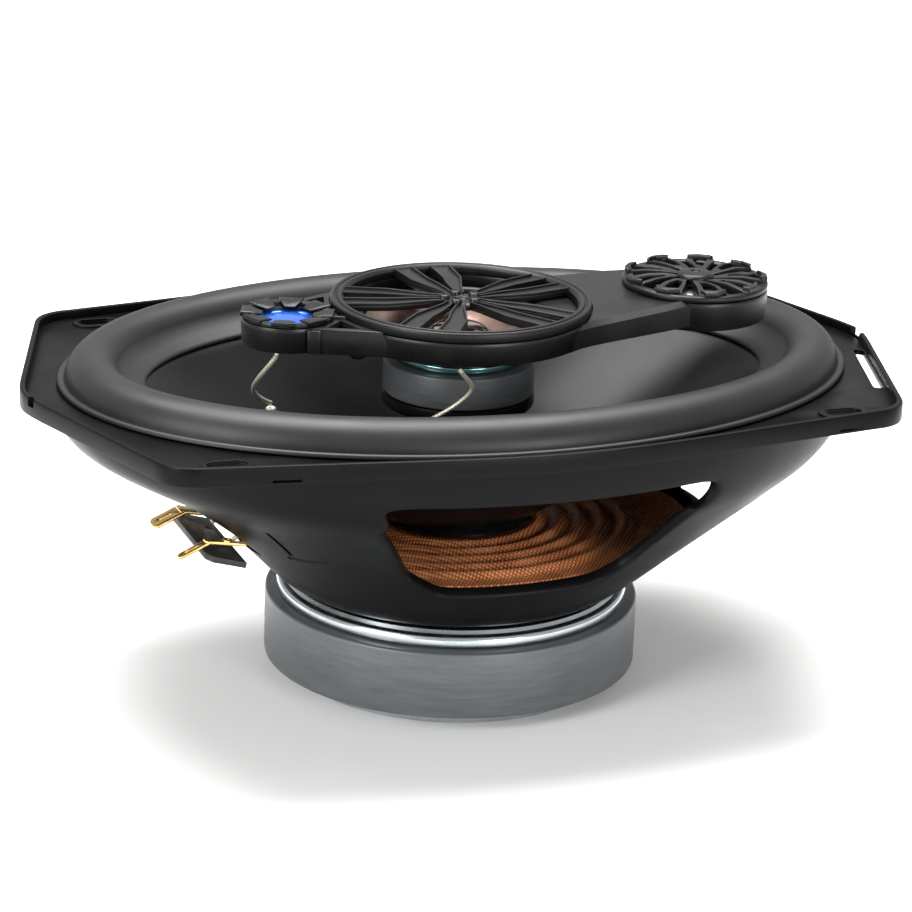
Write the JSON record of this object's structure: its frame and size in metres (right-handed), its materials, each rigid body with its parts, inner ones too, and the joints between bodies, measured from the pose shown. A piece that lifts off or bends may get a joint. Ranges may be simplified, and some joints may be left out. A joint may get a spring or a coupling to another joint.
{
  "type": "coaxial car speaker",
  "caption": "Oval coaxial car speaker: woofer in a pressed basket with a pod over it that carries a midrange, a tweeter and a super tweeter; the cones move.",
  "frame": {"origin": "centre of the overall box at the level of the back plate, on the woofer's axis; the speaker stands on its back plate and faces up", "axes": "+X along the oval's long axis, towards the tweeter; +Y across the oval; +Z out of the cone, the way the sound goes"},
  "size_m": [0.235, 0.1604, 0.106],
  "materials": {
    "black_steel": "semi-matt black paint on pressed steel",
    "zinc_plate": "bright zinc plating",
    "ferrite": "ground grey ferrite",
    "black_plastic": "satin black moulded plastic",
    "terminal_board": "black fibre board",
    "gold_plate": "gold-coloured plating",
    "capacitor_film": "dipped film capacitor",
    "bright_nickel": "bright polished metal",
    "rubber_roll": "soft satin rubber",
    "spider_cloth": "copper-brown resin-dipped woven cloth",
    "braided_lead": "tinned braid",
    "cone_poly": "smooth black cone",
    "copper_coil": "enamelled copper and brown former",
    "bronze_cone": "metallised bronze-pink cone",
    "silver_dome": "satin metal dome",
    "blue_dome": "bright blue dome"
  },
  "bodies": {
    "frame": {"back_plate_and_pole": "zinc_plate", "ferrite_magnet": "ferrite", "top_plate": "zinc_plate", "pole_bolt": "zinc_plate", "pod_post": "black_plastic", "basket": "black_steel", "basket_rivet_1": "zinc_plate", "basket_rivet_2": "zinc_plate", "basket_rivet_3": "zinc_plate", "basket_rivet_4": "zinc_plate", "terminal_board": "terminal_board", "terminal_blade_positive": "gold_plate", "terminal_blade_negative": "gold_plate", "pod_housing": "black_plastic", "pod_screw_1": "black_steel", "pod_screw_2": "black_steel", "pod_screw_3": "black_steel", "pod_screw_4": "black_steel", "crossover_capacitor": "capacitor_film", "midrange_grille": "black_plastic", "midrange_yoke": "black_steel", "midrange_magnet": "ferrite", "midrange_top_plate": "zinc_plate", "midrange_frame": "black_plastic", "tweeter_grille": "black_plastic", "tweeter_yoke": "zinc_plate", "tweeter_magnet": "bright_nickel", "super_tweeter_grille": "black_plastic", "super_tweeter_magnet": "bright_nickel", "surround": "rubber_roll", "spider": "spider_cloth", "midrange_surround": "rubber_roll", "pod_lead_rear": "braided_lead", "pod_lead_front": "braided_lead", "tinsel_lead_rear": "braided_lead", "tinsel_lead_front": "braided_lead"},
    "cone": {"woofer_cone": "cone_poly", "voice_coil_former": "copper_coil", "voice_coil_winding": "copper_coil", "lead_eyelet_front": "braided_lead", "lead_eyelet_rear": "braided_lead"},
    "midrange_diaphragm": {"midrange_cone": "bronze_cone", "midrange_coil": "copper_coil", "midrange_dust_dome": "bright_nickel"},
    "tweeter_diaphragm": {"tweeter_dome": "silver_dome"},
    "super_tweeter_diaphragm": {"super_tweeter_dome": "blue_dome"}
  },
  "joints": [
    {"name": "cone_travel", "type": "slide", "parent": "frame", "child": "cone", "axis": [0, 0, 1], "range_m": [-0.005, 0.005], "stiffness_N_per_m": 3000, "deforming": ["surround", "spider", "pod_lead_rear", "pod_lead_front", "tinsel_lead_rear", "tinsel_lead_front"]},
    {"name": "midrange_travel", "type": "slide", "parent": "frame", "child": "midrange_diaphragm", "axis": [0, 0, 1], "range_m": [-0.0008, 0.0008], "stiffness_N_per_m": 2000, "deforming": ["midrange_surround"]},
    {"name": "tweeter_travel", "type": "slide", "parent": "frame", "child": "tweeter_diaphragm", "axis": [0, 0, 1], "range_m": [-0.0002, 0.0002], "stiffness_N_per_m": 1500},
    {"name": "super_tweeter_travel", "type": "slide", "parent": "frame", "child": "super_tweeter_diaphragm", "axis": [0, 0, 1], "range_m": [-0.00015, 0.00015], "stiffness_N_per_m": 1500}
  ]
}
